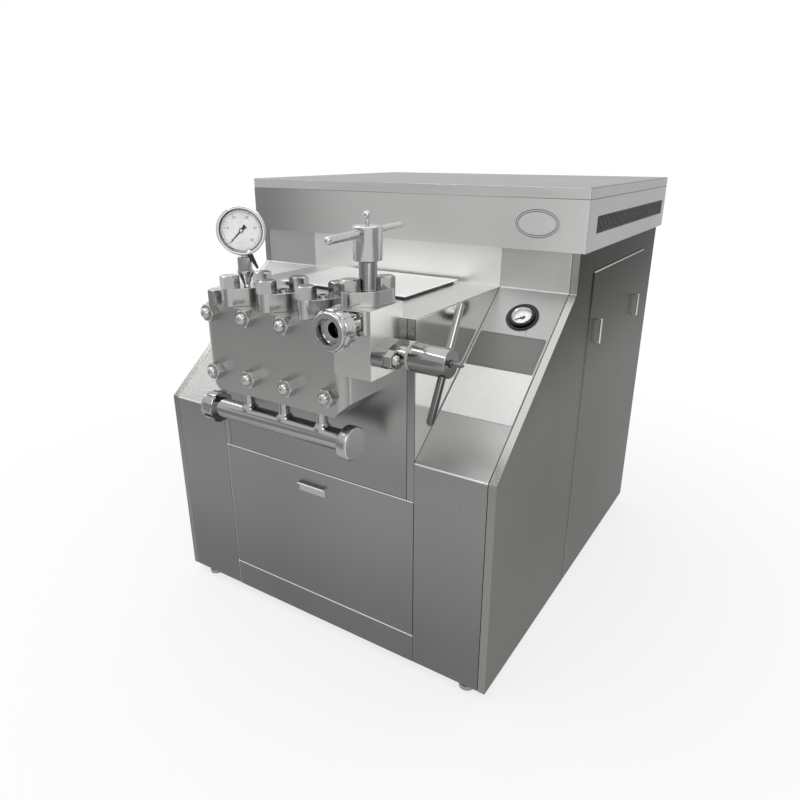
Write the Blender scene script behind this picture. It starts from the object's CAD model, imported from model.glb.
import math

import bpy
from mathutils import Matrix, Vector


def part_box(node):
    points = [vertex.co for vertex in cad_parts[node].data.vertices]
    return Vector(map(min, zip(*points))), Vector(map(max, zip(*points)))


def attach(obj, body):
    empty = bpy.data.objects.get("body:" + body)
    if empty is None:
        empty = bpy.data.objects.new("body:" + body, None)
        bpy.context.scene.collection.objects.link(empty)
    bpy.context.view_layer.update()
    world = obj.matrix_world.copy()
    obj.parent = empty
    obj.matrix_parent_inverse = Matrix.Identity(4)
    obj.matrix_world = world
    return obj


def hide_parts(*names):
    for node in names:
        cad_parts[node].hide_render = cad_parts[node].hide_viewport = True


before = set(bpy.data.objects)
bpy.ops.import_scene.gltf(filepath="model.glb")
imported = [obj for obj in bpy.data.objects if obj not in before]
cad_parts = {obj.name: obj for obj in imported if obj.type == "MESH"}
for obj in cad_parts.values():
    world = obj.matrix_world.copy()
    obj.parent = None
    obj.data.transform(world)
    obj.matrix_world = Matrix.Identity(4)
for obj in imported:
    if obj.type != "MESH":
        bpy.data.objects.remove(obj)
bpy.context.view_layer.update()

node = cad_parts

# Base plate and feet
# Thick steel plate that carries the drive, on four turned stainless pads.
# The feet screw up into the plate; both are plain machined stock.


def soften(width, *names):
    """Breaks the edges of pieces, as deburring and brushing leave them."""
    for name in names:
        weld = node[name].modifiers.new("weld", "WELD")
        weld.merge_threshold = 0.00002
        edge = node[name].modifiers.new("edge", "BEVEL")
        edge.width = width
        edge.segments = 2
        edge.limit_method = "ANGLE"
        edge.angle_limit = math.radians(38)
        edge.harden_normals = True


def ramp(tree, value, start, end, low, high, smooth=False):
    """Turns a value that runs from start to end into one that runs from low to high."""
    change = tree.nodes.new("ShaderNodeMapRange")
    change.interpolation_type = "SMOOTHSTEP" if smooth else "LINEAR"
    change.inputs["From Min"].default_value = start
    change.inputs["From Max"].default_value = end
    change.inputs["To Min"].default_value = low
    change.inputs["To Max"].default_value = high
    tree.links.new(value, change.inputs["Value"])
    return change.outputs["Result"]


def supply(tree, sockets, values):
    """Links each value that comes from another step, and sets each plain one."""
    for socket, value in zip(sockets, values):
        if isinstance(value, bpy.types.NodeSocket):
            tree.links.new(value, socket)
        else:
            socket.default_value = value


def combine(tree, operation, *values):
    """Works out one number from others."""
    step = tree.nodes.new("ShaderNodeMath")
    step.operation = operation
    supply(tree, step.inputs, values)
    return step.outputs["Value"]


def tint(tree, colour, amount):
    """Makes a colour lighter or darker by an amount and gives it to the finish."""
    scaled = tree.nodes.new("ShaderNodeVectorMath")
    scaled.operation = "SCALE"
    supply(tree, (scaled.inputs[0], scaled.inputs["Scale"]), (colour, amount))
    tree.links.new(scaled.outputs["Vector"], tree.nodes["Principled BSDF"].inputs["Base Color"])


def uneven(tree, place, size, detail):
    """Uneven pattern over the places of a piece."""
    pattern = tree.nodes.new("ShaderNodeTexNoise")
    pattern.inputs["Scale"].default_value = size
    pattern.inputs["Detail"].default_value = detail
    tree.links.new(place, pattern.inputs["Vector"])
    return pattern.outputs["Fac"]


def metal(name, colour, rough, grain, spread):
    """Metal with fine tool lines stretched by grain and a soft cloud of lighter and darker places."""
    cloud = 0.06
    material = bpy.data.materials.new(name)
    material.use_nodes = True
    tree = material.node_tree
    shader = tree.nodes["Principled BSDF"]
    shader.inputs["Metallic"].default_value = 1.0
    place = tree.nodes.new("ShaderNodeTexCoord").outputs["Object"]
    stretch = tree.nodes.new("ShaderNodeMapping")
    stretch.inputs["Scale"].default_value = grain
    tree.links.new(place, stretch.inputs["Vector"])
    lines = uneven(tree, stretch.outputs["Vector"], 1.0, 3.0)
    patches = uneven(tree, place, 2.6, 1.0)
    tint(tree, colour, combine(tree, "MULTIPLY", ramp(tree, lines, 0.3, 0.7, 1 - spread, 1 + spread),
                               ramp(tree, patches, 0.3, 0.7, 1 - cloud, 1 + cloud)))
    gloss = ramp(tree, lines, 0.3, 0.7, rough - spread, rough + spread)
    tree.links.new(gloss, shader.inputs["Roughness"])
    return material


def finish_with(material, *names):
    """Gives pieces their material."""
    for name in names:
        node[name].data.materials.clear()
        node[name].data.materials.append(material)


finish_with(metal("pad_steel", (0.30, 0.30, 0.29), 0.35, (60, 60, 900), 0.08), "base_plate", "feet")
soften(0.0015, "feet")

# Cabinet sheets
# Three-millimetre stainless sheet, brushed upright before folding, welded at the corners.
# The fronts, cheeks and sides are separate blanks with open joints a millimetre wide.
sheet = 0.003
cabinet_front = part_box("head_panel")[0][1]
pillar_top = 0.581
deck_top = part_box("deck")[1][2]
side_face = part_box("right_side_panel")[1][0]
front_grey = (0.25, 0.25, 0.247)
brushed_up = (700, 700, 6)
brushed_across = (6, 700, 700)
brushed_deep = (700, 6, 700)


def tone_by(material, way, start, end, low, high, limit=None):
    """Scales a metal's tone from low to high where a value of its nodes runs from start to end."""
    tree = material.node_tree
    amount = ramp(tree, way, start, end, low, high, smooth=True)
    if limit:
        choice = tree.nodes.new("ShaderNodeMix")
        supply(tree, (choice.inputs["Factor"], choice.inputs["A"], choice.inputs["B"]), (limit, 1.0, amount))
        amount = choice.outputs["Result"]
    tint(tree, tree.nodes["Principled BSDF"].inputs["Base Color"].links[0].from_socket, amount)


def grade(material, axis, start, end, low, high, near=None):
    """Changes a metal's tone along X, Y or Z, or "both" ways outwards from the middle.

    Near gives a distance from the middle and a reach about it, and limits the change to there."""
    tree = material.node_tree
    split = tree.nodes.new("ShaderNodeSeparateXYZ")
    tree.links.new(tree.nodes.new("ShaderNodeTexCoord").outputs["Object"], split.inputs["Vector"])
    outwards = combine(tree, "ABSOLUTE", split.outputs["X"])
    way = outwards if axis == "both" else split.outputs[axis]
    limit = combine(tree, "COMPARE", outwards, *near) if near else None
    tone_by(material, way, start, end, low, high, limit)


def darken_to_floor(material):
    """Darkens an upright sheet towards its foot, where less light falls on it."""
    grade(material, "Z", 0.05, 0.60, 0.62, 1.0)


def shine_line(material, height, half, blur, shine):
    """Bright level line along a fold that catches the light."""
    grade(material, "Z", height - half - blur, height - half + blur, 1.0, shine)
    grade(material, "Z", height + half - blur, height + half + blur, 1.0, 1 / shine)


def side_blank(name):
    """Sheet of the cabinet's sides, dull enough to stay even when seen along its face."""
    material = metal(name, (0.24, 0.238, 0.226), 0.27, brushed_up, 0.03)
    material.node_tree.nodes["Principled BSDF"].inputs["Specular Tint"].default_value = (0.5, 0.5, 0.5, 1)
    return material


front_sheet = metal("front_sheet", front_grey, 0.36, brushed_up, 0.035)
darken_to_floor(front_sheet)
finish_with(front_sheet, "rear_panel")
head_sheet = metal("head_sheet", (0.31, 0.31, 0.306), 0.36, brushed_up, 0.035)
grade(head_sheet, "Z", 0.50, 0.68, 0.72, 1.0)
finish_with(head_sheet, "head_panel")
slope_low, slope_high = 1.6, 1.2
fascia_sheet = metal("fascia_sheet", front_grey, 0.36, brushed_up, 0.035)
darken_to_floor(fascia_sheet)
shine_line(fascia_sheet, pillar_top - 0.001, 0.0019, 0.0003, 2.4)
shine_line(fascia_sheet, deck_top, 0.0019, 0.0003, 1.7)
grade(fascia_sheet, "Z", pillar_top - 0.0015, pillar_top - 0.0005, 1.0, slope_low)
grade(fascia_sheet, "Z", 0.60, 0.70, 1.0, slope_high / slope_low)
grade(fascia_sheet, "Z", deck_top + 0.0005, deck_top + 0.0020, 1.0, 1.83)
finish_with(fascia_sheet, "pillar_fascias")
side_sheet = side_blank("side_sheet")
grade(side_sheet, "Z", 0.60, 1.0, 1.0, 0.22, near=(side_face + 0.002, 0.0028))
grade(side_sheet, "Z", 0.57, 0.60, 1.0, 1.6, near=(side_face - 0.010, 0.0092))
finish_with(side_sheet, "left_side_panel", "right_side_panel")
cheek_sheet = metal("cheek_sheet", (0.95, 0.95, 0.93), 0.14, brushed_deep, 0.02)
grade(cheek_sheet, "Y", cabinet_front + sheet + 0.0003, cabinet_front + sheet + 0.0007, 0.24, 1.0)
finish_with(cheek_sheet, "cheeks")
finish_with(metal("deck_sheet", (0.64, 0.64, 0.63), 0.38, brushed_across, 0.03), "deck")
finish_with(metal("wall_sheet", (0.88, 0.88, 0.87), 0.38, brushed_across, 0.03), "tower_wall")
soften(0.0012, "left_side_panel", "right_side_panel", "pillar_fascias", "plinth", "head_panel", "cheeks",
       "deck", "tower_wall", "rear_panel")

# Top band, vents and lid
# Folded stainless band standing out over the cabinet, with a long window in each side.
# A dark slotted plate is welded behind each window; the lid is a folded tray.
band_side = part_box("top_band")[1][0]
lid_side, _, lid_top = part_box("lid")[1]
band_sheet = metal("band_sheet", (0.76, 0.76, 0.75), 0.36, brushed_deep, 0.03)
grade(band_sheet, "X", -0.50, -0.10, 0.45, 1.0)
grade(band_sheet, "both", band_side - 0.0015, band_side - 0.0005, 1.0, 0.46)
finish_with(band_sheet, "top_band")
lid_sheet = metal("lid_sheet", (0.26, 0.26, 0.256), 0.40, brushed_across, 0.03)
grade(lid_sheet, "Z", lid_top - 0.0040, lid_top - 0.0005, 2.6, 1.0)
grade(lid_sheet, "both", lid_side - 0.0025, lid_side - 0.0005, 1.0, 0.55)
finish_with(lid_sheet, "lid")
finish_with(metal("vent_plate", (0.05, 0.05, 0.05), 0.45, brushed_deep, 0.06), "vent_meshes")
soften(0.0014, "top_band")
soften(0.003, "lid")

# Door, access panels and deck cover
# Removable folded trays of the same sheet; the door has a lip pull, the side panels bow handles.
# The door stands on the plinth, whose upper fold shines, as do the panels' edges and handles.
(door_left, pull_front, _), (_, _, door_top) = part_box("front_door")
plinth_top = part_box("plinth")[1][2]
door_sheet = metal("door_sheet", front_grey, 0.36, brushed_up, 0.035)
darken_to_floor(door_sheet)
grade(door_sheet, "Z", door_top - 0.0030, door_top - 0.0024, 1.0, 3.2)
grade(door_sheet, "Y", cabinet_front - 0.0010, cabinet_front - 0.0003, 1.8, 1.0)
grade(door_sheet, "Y", pull_front + 0.0007, pull_front + 0.0025, 2.2, 1.0)
grade(door_sheet, "X", door_left + 0.0018, door_left + 0.0024, 2.6, 1.0)
shine_line(door_sheet, plinth_top - 0.0014, 0.0018, 0.0002, 4.5)
finish_with(door_sheet, "front_door", "plinth")
(panel_back, panel_front, _), (_, _, panel_top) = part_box("right_access_panel")
panel_face = panel_back + sheet
access_sheet = side_blank("access_sheet")
grade(access_sheet, "Z", 0.60, 1.0, 1.0, 0.22)
grade(access_sheet, "Z", panel_top - 0.0045, panel_top - 0.0040, 1.0, 10.0)
grade(access_sheet, "Y", panel_front - 0.0003, panel_front + 0.0010, 3.6, 1.0)
grade(access_sheet, "both", panel_face + 0.0004, panel_face + 0.0008, 1.0, 5.0)
finish_with(access_sheet, "left_access_panel", "right_access_panel")
cover_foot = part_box("deck_cover")[1][2] - sheet
cover_sheet = metal("cover_sheet", (0.92, 0.92, 0.91), 0.38, brushed_across, 0.03)
grade(cover_sheet, "Z", cover_foot - 0.0008, cover_foot, 0.08, 1.0)
finish_with(cover_sheet, "deck_cover")
soften(0.0012, "front_door", "deck_cover")

# Drive
# Cast frame, crank, rods, plungers, belts and motor, closed in by the cabinet.
# Castings are painted grey, running parts are ground bright, belts are black rubber.
turned = (900, 900, 900)


def coat(name, colour, rough, size):
    """Paint, plastic or rubber with a fine uneven surface."""
    material = bpy.data.materials.new(name)
    material.use_nodes = True
    tree = material.node_tree
    grain = uneven(tree, tree.nodes.new("ShaderNodeTexCoord").outputs["Object"], size, 3.0)
    tint(tree, colour, ramp(tree, grain, 0.0, 1.0, 0.9, 1.1))
    gloss = ramp(tree, grain, 0.0, 1.0, rough - 0.06, rough + 0.06)
    tree.links.new(gloss, tree.nodes["Principled BSDF"].inputs["Roughness"])
    return material


finish_with(coat("casting_paint", (0.11, 0.13, 0.14), 0.5, 240),
            "power_frame", "motor_housing", "drive_pulley")
finish_with(coat("belt_rubber", (0.02, 0.02, 0.02), 0.75, 500), "drive_belts")
finish_with(metal("ground_steel", (0.55, 0.55, 0.54), 0.22, turned, 0.03),
            "crank_bearings", "crankshaft", "motor_rotor", "connecting_rod_1", "connecting_rod_2",
            "connecting_rod_3", "plunger_1", "plunger_2", "plunger_3", "packing_glands", "valve_inserts")

# Pump head
# Milled stainless block with rounded front edges, three cast covers on studs, hexagon and dome nuts.
# Faces are milled and blasted to an even grey; nuts and bolts are bright turned steel.
block_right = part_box("pump_block")[1][0]
milled = (1500, 1500, 90)
planed = (900, 900, 40)
cover_grey = (0.43, 0.43, 0.422)
block_steel = metal("block_steel", (0.37, 0.37, 0.364), 0.42, milled, 0.02)
grade(block_steel, "X", block_right - 0.0016, block_right - 0.0004, 1.0, 2.2)
finish_with(block_steel, "pump_block")
finish_with(metal("cover_steel", cover_grey, 0.20, planed, 0.03), "valve_covers")
nut_steel = metal("nut_steel", (0.40, 0.40, 0.394), 0.16, turned, 0.03)
finish_with(nut_steel, "cover_nuts", "head_bolts", "block_plugs")
soften(0.0015, "pump_block")
soften(0.0012, "valve_covers")
soften(0.001, "cover_nuts")
soften(0.0008, "head_bolts", "block_plugs")

# Pressure gauge
# Bought dial gauge: polished case and stem, white enamelled dial, black needle, flat window.
# Its stem screws into the first cover, and the case is turned towards the operator.
gauge_centre = Vector((-0.110, -0.5365, 1.066))
gauge_turn = math.radians(38)
gauge_front = Vector((math.sin(gauge_turn), -math.cos(gauge_turn), 0))


def direct(tree, operation, *values):
    """Works out one direction, or a length or a share of one, from others."""
    step = tree.nodes.new("ShaderNodeVectorMath")
    step.operation = operation
    supply(tree, step.inputs, values)
    return step.outputs["Value" if operation in ("LENGTH", "DOT_PRODUCT") else "Vector"]


def ring(material, centre, axis, start, end, low, high):
    """Changes a metal's tone with the distance from an axis."""
    tree = material.node_tree
    place = tree.nodes.new("ShaderNodeTexCoord").outputs["Object"]
    across = direct(tree, "CROSS_PRODUCT", direct(tree, "SUBTRACT", place, centre), axis)
    tone_by(material, direct(tree, "LENGTH", across), start, end, low, high)


gauge_chrome = metal("gauge_chrome", (0.80, 0.80, 0.79), 0.10, turned, 0.03)
ring(gauge_chrome, gauge_centre, gauge_front, 0.0468, 0.0474, 0.25, 1.0)
ring(gauge_chrome, gauge_centre, gauge_front, 0.0496, 0.0500, 1.0, 0.4)
ring(gauge_chrome, gauge_centre, gauge_front, 0.0508, 0.0512, 1.0, 2.5)
finish_with(gauge_chrome, "gauge_case")
bright_steel = metal("bright_steel", (0.48, 0.48, 0.472), 0.11, turned, 0.03)
finish_with(bright_steel, "gauge_stem")
soften(0.0006, "gauge_stem")
dial_white = coat("dial_white", (0.86, 0.86, 0.85), 0.4, 300)
finish_with(dial_white, "gauge_dial")
needle_black = coat("needle_black", (0.012, 0.012, 0.012), 0.4, 400)
finish_with(needle_black, "gauge_needle")
window_glass = coat("window_glass", (0.99, 0.99, 0.99), 0.07, 30)
window_glass.node_tree.nodes["Principled BSDF"].inputs["Transmission Weight"].default_value = 1.0
window_glass.node_tree.nodes["Principled BSDF"].inputs["IOR"].default_value = 1.05
finish_with(window_glass, "gauge_glass")

# Dial print of the pressure gauge
# Screen-printed black scale lines and figures on the white dial.
# One long and one short line are made, and copied round the dial.


def blank(name, width, height, level, sides=None):
    """Flat blank, oblong or with many sides, ready to be shaped with all of it selected."""
    bpy.ops.object.select_all(action="DESELECT")
    if sides:
        bpy.ops.mesh.primitive_circle_add(vertices=sides, radius=0.5, fill_type="NGON",
                                          location=(0, 0, level))
    else:
        bpy.ops.mesh.primitive_plane_add(size=1, location=(0, 0, level))
    piece = bpy.context.object
    piece.name = name
    piece.scale = (width, height, 1)
    bpy.ops.object.transform_apply(location=True, rotation=True, scale=True)
    bpy.ops.object.mode_set(mode="EDIT")
    bpy.ops.mesh.select_all(action="SELECT")
    return piece


def draw_out(height):
    """Extrudes what is selected."""
    bpy.ops.mesh.extrude_region_move(TRANSFORM_OT_translate={"value": (0, 0, height)})


def close_up():
    """Turns all faces outwards and ends the shaping."""
    bpy.ops.mesh.select_all(action="SELECT")
    bpy.ops.mesh.normals_make_consistent(inside=False)
    bpy.ops.object.mode_set(mode="OBJECT")


def lay(piece, place, turn):
    """Lays a shaped piece in its place and leaves its object at the origin."""
    piece.rotation_euler = turn
    piece.location = place
    bpy.ops.object.transform_apply(location=True, rotation=True, scale=True)


def print_scale(name, marks, figures, radius, length, width, size):
    """Lines and figures of a dial, flat on the ground plane, from the lower left clockwise."""
    thick = 0.0001
    sweep, first = 270, -135
    steps = len(figures) - 1
    patterns = []
    for share in (1.0, 0.6):
        pattern = blank("line", width * share, length * share, -thick / 2)
        draw_out(thick)
        close_up()
        lay(pattern, (0, radius - length * share / 2, 0), (0, 0, 0))
        patterns.append(pattern)
    printed = []
    for i in range(marks + 1):
        pattern = patterns[0 if i % (marks // steps) == 0 else 1]
        line = pattern.copy()
        line.data = pattern.data.copy()
        line.rotation_euler = (0, 0, -math.radians(sweep * i / marks + first))
        bpy.context.collection.objects.link(line)
        printed.append(line)
    for pattern in patterns:
        bpy.data.objects.remove(pattern)
    for i, figure in enumerate(figures):
        angle = math.radians(sweep * i / steps + first)
        inner = radius - length - size * 0.75
        bpy.ops.object.select_all(action="DESELECT")
        bpy.ops.object.text_add(location=(inner * math.sin(angle), inner * math.cos(angle), 0))
        word = bpy.context.object
        word.data.body = figure
        word.data.size = size
        word.data.align_x = "CENTER"
        word.data.align_y = "CENTER"
        word.data.extrude = thick / 2
        word.data.resolution_u = 3
        bpy.ops.object.convert(target="MESH")
        printed.append(bpy.context.object)
    bpy.ops.object.select_all(action="DESELECT")
    for part in printed:
        part.select_set(True)
    piece = printed[0]
    bpy.context.view_layer.objects.active = piece
    bpy.ops.object.join()
    bpy.ops.object.transform_apply(location=True, rotation=True, scale=True)
    piece.name = name
    return piece


gauge_print = print_scale("gauge_print", 50, ("0", "10", "20", "30", "40", "50"), radius=0.0415, length=0.006,
                          width=0.0008, size=0.0075)
lay(gauge_print, gauge_centre + gauge_front * 0.0126, (math.radians(90), 0, gauge_turn))
gauge_print.data.materials.append(needle_black)
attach(gauge_print, "machine")

# Gauge cock lever
# Small black lever of the gauge's shut-off cock, clamped to the stem under the dial.
# A forged strip that tapers towards its end, with rounded edges.
neck, reach = 0.012, 0.030
cock_lever = blank("cock_lever", 0.011, 0.007, 0)
draw_out(-neck)
draw_out(-reach)
bpy.ops.transform.resize(value=(0.42, 0.6, 1), center_override=(0, 0, -neck - reach))
bpy.ops.mesh.select_all(action="SELECT")
bpy.ops.mesh.normals_make_consistent(inside=False)
bpy.ops.mesh.bevel(offset=0.0009, segments=2, affect="EDGES")
bpy.ops.object.mode_set(mode="OBJECT")
lay(cock_lever, gauge_centre + Vector((0.0075, 0.0055, -0.047)), (0, math.radians(-26), gauge_turn))
cock_lever.data.materials.append(needle_black)
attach(cock_lever, "machine")

# Homogenizing valves
# Milled valve block, two flanged bonnets with nuts, two turned hubs with polished cross bars.
# A cream nylon ring takes the thrust behind the second hub.
valve_right, _, valve_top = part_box("valve_block")[1]
flange_top = valve_top + 0.030
second_axis = 0.848
second_hub_end = 0.418
valve_steel = metal("valve_steel", (0.59, 0.59, 0.58), 0.30, milled, 0.015)
grade(valve_steel, "X", valve_right - 0.0012, valve_right - 0.0002, 1.0, 1.65)
finish_with(valve_steel, "valve_block")
bonnet_steel = metal("bonnet_steel", cover_grey, 0.20, planed, 0.03)
grade(bonnet_steel, "Z", flange_top + 0.0002, flange_top + 0.0008, 1.0, 0.55)
finish_with(bonnet_steel, "first_stage_bonnet")
finish_with(nut_steel, "valve_fasteners")
finish_with(bright_steel, "first_stage_rod", "first_stage_handle")
second_steel = metal("second_steel", (0.29, 0.29, 0.285), 0.12, turned, 0.03)
grade(second_steel, "Z", second_axis - 0.014, second_axis + 0.004, 0.4, 1.0)
grade(second_steel, "X", second_hub_end, second_hub_end + 0.0006, 1.0, 0.5)
finish_with(second_steel, "second_stage_bonnet", "second_stage_rod", "second_stage_handle")
finish_with(coat("cream_nylon", (0.40, 0.385, 0.33), 0.45, 200), "thrust_ring")
soften(0.0012, "valve_block")
soften(0.0008, "first_stage_bonnet", "second_stage_bonnet", "valve_fasteners", "thrust_ring")
soften(0.0005, "first_stage_handle", "second_stage_handle")

# Pipework
# Polished stainless tube with welded collars, slotted union nuts and a blank cap.
# The nuts and the cap are turned from bar and screw on to the collars.
manifold_axis = 0.635
cap_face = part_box("inlet_cap")[1][0]
pipe_grey = (0.36, 0.36, 0.354)
finish_with(bright_steel, "discharge_pipe", "discharge_nut")
pipe_steel = metal("pipe_steel", pipe_grey, 0.11, turned, 0.03)
grade(pipe_steel, "Z", manifold_axis - 0.017, manifold_axis + 0.005, 0.45, 1.0)
finish_with(pipe_steel, "inlet_manifold", "inlet_nut")
cap_steel = metal("cap_steel", pipe_grey, 0.26, turned, 0.03)
grade(cap_steel, "X", cap_face - 0.0010, cap_face - 0.0002, 1.0, 2.7)
finish_with(cap_steel, "inlet_cap")
soften(0.0008, "discharge_pipe", "discharge_nut", "inlet_manifold", "inlet_nut", "inlet_cap")

# Panel gauge
# Small bought gauge let into the pillar slope: black flange, bright bezel, pale dial and window.
# Its dial and window are round blanks, and its scale is printed.
slope_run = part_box("deck")[1][1] - cabinet_front
slope = math.atan2(deck_top - pillar_top, slope_run)
slope_foot = Vector((0, cabinet_front, pillar_top))
uphill = Vector((0, math.cos(slope), math.sin(slope)))
outward = Vector((0, -math.sin(slope), math.cos(slope)))
slope_lean = (slope, 0, 0)
panel_centre = slope_foot + uphill * 0.43743 + Vector((0.3935, 0, 0))
panel_finish = metal("panel_finish", (0.60, 0.60, 0.59), 0.2, turned, 0.03)
ring(panel_finish, panel_centre, outward, 0.0246, 0.0248, 1.0, 0.05)
finish_with(panel_finish, "panel_gauge")
finish_with(needle_black, "panel_gauge_needle")
soften(0.0006, "panel_gauge")


def disc(name, radius, thick, place, material):
    """Thin round blank, lying against the slope."""
    piece = blank(name, 2 * radius, 2 * radius, -thick / 2, sides=64)
    draw_out(thick)
    close_up()
    lay(piece, place, slope_lean)
    piece.data.materials.append(material)
    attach(piece, "machine")


disc("panel_dial", 0.0226, 0.0006, panel_centre - outward * 0.0017, dial_white)
disc("panel_window", 0.0228, 0.0010, panel_centre + outward * 0.0060, window_glass)
panel_print = print_scale("panel_print", 40, ("0", "2", "4", "6", "8"), radius=0.0215, length=0.0035,
                          width=0.0006, size=0.0050)
lay(panel_print, panel_centre - outward * 0.0013, slope_lean)
panel_print.data.materials.append(needle_black)
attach(panel_print, "machine")

# Bare plates
# Dark anodised rating plate and white label on the slope, oval badge on the band, all left blank.
# The plates are pressed from thin sheet and bonded on.
plate_thick = 0.0012
plate_middle = slope_foot + outward * plate_thick / 2 + Vector((0.3905, 0, 0))


def plate(name, width, height, distance, material):
    """Thin oblong plate with rounded corners and a pressed border, bonded to the slope."""
    piece = blank(name, width, height, -plate_thick / 2)
    bpy.ops.mesh.bevel(offset=0.004, segments=4, affect="VERTICES")
    draw_out(plate_thick)
    bpy.ops.mesh.inset(thickness=0.003, depth=0)
    bpy.ops.mesh.inset(thickness=0.0006, depth=-0.0004)
    close_up()
    lay(piece, plate_middle + uphill * distance, slope_lean)
    piece.data.materials.append(material)
    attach(piece, "machine")


plate("rating_plate", 0.167, 0.101, 0.33093,
      metal("dark_anodised", (0.13, 0.13, 0.126), 0.4, (6, 900, 900), 0.05))
plate("white_label", 0.176, 0.136, 0.21143, coat("white_film", (0.70, 0.70, 0.69), 0.35, 200))
badge_face = -0.0821
badge_step = 0.0008
oval_badge = blank("oval_badge", 0.112, 0.070, -plate_thick / 2, sides=96)
draw_out(plate_thick)
for rim in (0.0016, 0.0022):
    bpy.ops.mesh.inset(thickness=rim, depth=0)
    bpy.ops.mesh.inset(thickness=0.0006, depth=-badge_step)
    bpy.ops.mesh.inset(thickness=0.0012, depth=0)
    bpy.ops.mesh.inset(thickness=0.0006, depth=badge_step)
close_up()
lay(oval_badge, (0.393, badge_face, 1.06788), (math.radians(90), 0, 0))
badge_steel = metal("badge_steel", (0.80, 0.80, 0.79), 0.36, (900, 6, 900), 0.03)
grade(badge_steel, "Y", badge_face - 0.0004, badge_face, 1.0, 0.25)
oval_badge.data.materials.append(badge_steel)
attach(oval_badge, "machine")
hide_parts("name_plates")

# Studio
# Pale floor and backdrop, a broad soft lamp overhead, a weaker one from the front right, two strip lamps.
# The room to the left and right of the camera is dimmer than the backdrop behind the machine.
camera_side = (0.524, -0.852, 0)
side_dim = 0.55


def seen_rays(tree):
    """One for what is seen by eye, in metal or through glass, and nought for the light on the pieces."""
    rays = tree.nodes.new("ShaderNodeLightPath").outputs
    seen = combine(tree, "MAXIMUM", rays["Is Camera Ray"], rays["Is Glossy Ray"])
    return combine(tree, "MAXIMUM", seen, rays["Is Transmission Ray"])


def left_after_dimming(tree, amount, direction):
    """What is left of the light where a direction points to the dimmer sides of the room."""
    bearing = direct(tree, "NORMALIZE", direct(tree, "MULTIPLY", direction, (1, 1, 0)))
    facing = direct(tree, "DOT_PRODUCT", bearing, camera_side)
    beside = ramp(tree, facing, 0.65, 0.88, 1.0, 0.0, smooth=True)
    before = ramp(tree, facing, -0.3, 0.2, 0.0, 1.0, smooth=True)
    dim = combine(tree, "MULTIPLY", amount, combine(tree, "MULTIPLY", beside, before))
    return combine(tree, "SUBTRACT", 1.0, dim)


bpy.ops.object.select_all(action="DESELECT")
bpy.ops.mesh.primitive_plane_add(size=30, location=(0, 0, -0.001))
floor = bpy.context.object
floor.name = "floor"
floor_paint = bpy.data.materials.new("floor_paint")
floor_paint.use_nodes = True
tree = floor_paint.node_tree
shader = tree.nodes["Principled BSDF"]
shader.inputs["Base Color"].default_value = (0.85, 0.85, 0.85, 1)
shader.inputs["Roughness"].default_value = 0.9
place = tree.nodes.new("ShaderNodeTexCoord").outputs["Object"]
away = direct(tree, "LENGTH", place)
white = tree.nodes.new("ShaderNodeEmission")
far_dim = ramp(tree, away, 1.5, 3.0, 0.0, side_dim, smooth=True)
tree.links.new(left_after_dimming(tree, far_dim, place), white.inputs["Strength"])
share = combine(tree, "MULTIPLY", seen_rays(tree), ramp(tree, away, 0.6, 2.2, 0.75, 1.0, smooth=True))
blend = tree.nodes.new("ShaderNodeMixShader")
supply(tree, blend.inputs, (share, shader.outputs["BSDF"], white.outputs["Emission"]))
tree.links.new(blend.outputs["Shader"], tree.nodes["Material Output"].inputs["Surface"])
floor.data.materials.append(floor_paint)

world = bpy.data.worlds.new("studio")
bpy.context.scene.world = world
world.use_nodes = True
tree = world.node_tree
background = tree.nodes["Background"]
background.inputs["Color"].default_value = (1, 1, 1, 1)
towards = tree.nodes.new("ShaderNodeTexCoord").outputs["Generated"]
split = tree.nodes.new("ShaderNodeSeparateXYZ")
tree.links.new(towards, split.inputs["Vector"])
low_dim = ramp(tree, split.outputs["Z"], 0.05, 0.45, side_dim, 0.0, smooth=True)
strength = combine(tree, "MULTIPLY", ramp(tree, seen_rays(tree), 0.0, 1.0, 0.68, 1.0),
                   left_after_dimming(tree, low_dim, towards))
tree.links.new(strength, background.inputs["Strength"])


def aimed(start, aim):
    """Turn that points a lamp or a camera from one place to another."""
    return (Vector(aim) - Vector(start)).to_track_quat("-Z", "Y").to_euler()


def lamp(name, place, aim, width, length, power):
    """Soft lamp with an oblong face, pointed at a place."""
    light = bpy.data.lights.new(name, "AREA")
    light.shape = "RECTANGLE"
    light.size = width
    light.size_y = length
    light.energy = power
    holder = bpy.data.objects.new(name, light)
    holder.location = place
    holder.rotation_euler = aimed(place, aim)
    bpy.context.collection.objects.link(holder)


lamp("overhead", (-0.3, 0.2, 4.2), (0, 0, 0.8), 4.5, 4.5, 45)
lamp("front_right", (2.8, -2.6, 2.8), (0, 0, 0.8), 1.6, 1.6, 24)
lamp("strip_front", (-0.6, -1.6, 3.0), (0, -0.4, 0.8), 2.6, 0.22, 14)
lamp("strip_left", (-2.6, -0.4, 2.6), (0, -0.2, 0.8), 0.22, 2.6, 12)

lens = bpy.data.cameras.new("camera")
lens.sensor_width = 36
lens.lens = 29.361
camera = bpy.data.objects.new("camera", lens)
camera.location = (0.9772, -1.5871, 1.2250)
camera.rotation_euler = aimed(camera.location, (-0.051, 0.0125, 0.503))
bpy.context.collection.objects.link(camera)
bpy.context.scene.camera = camera
bpy.context.scene.view_settings.view_transform = "Standard"
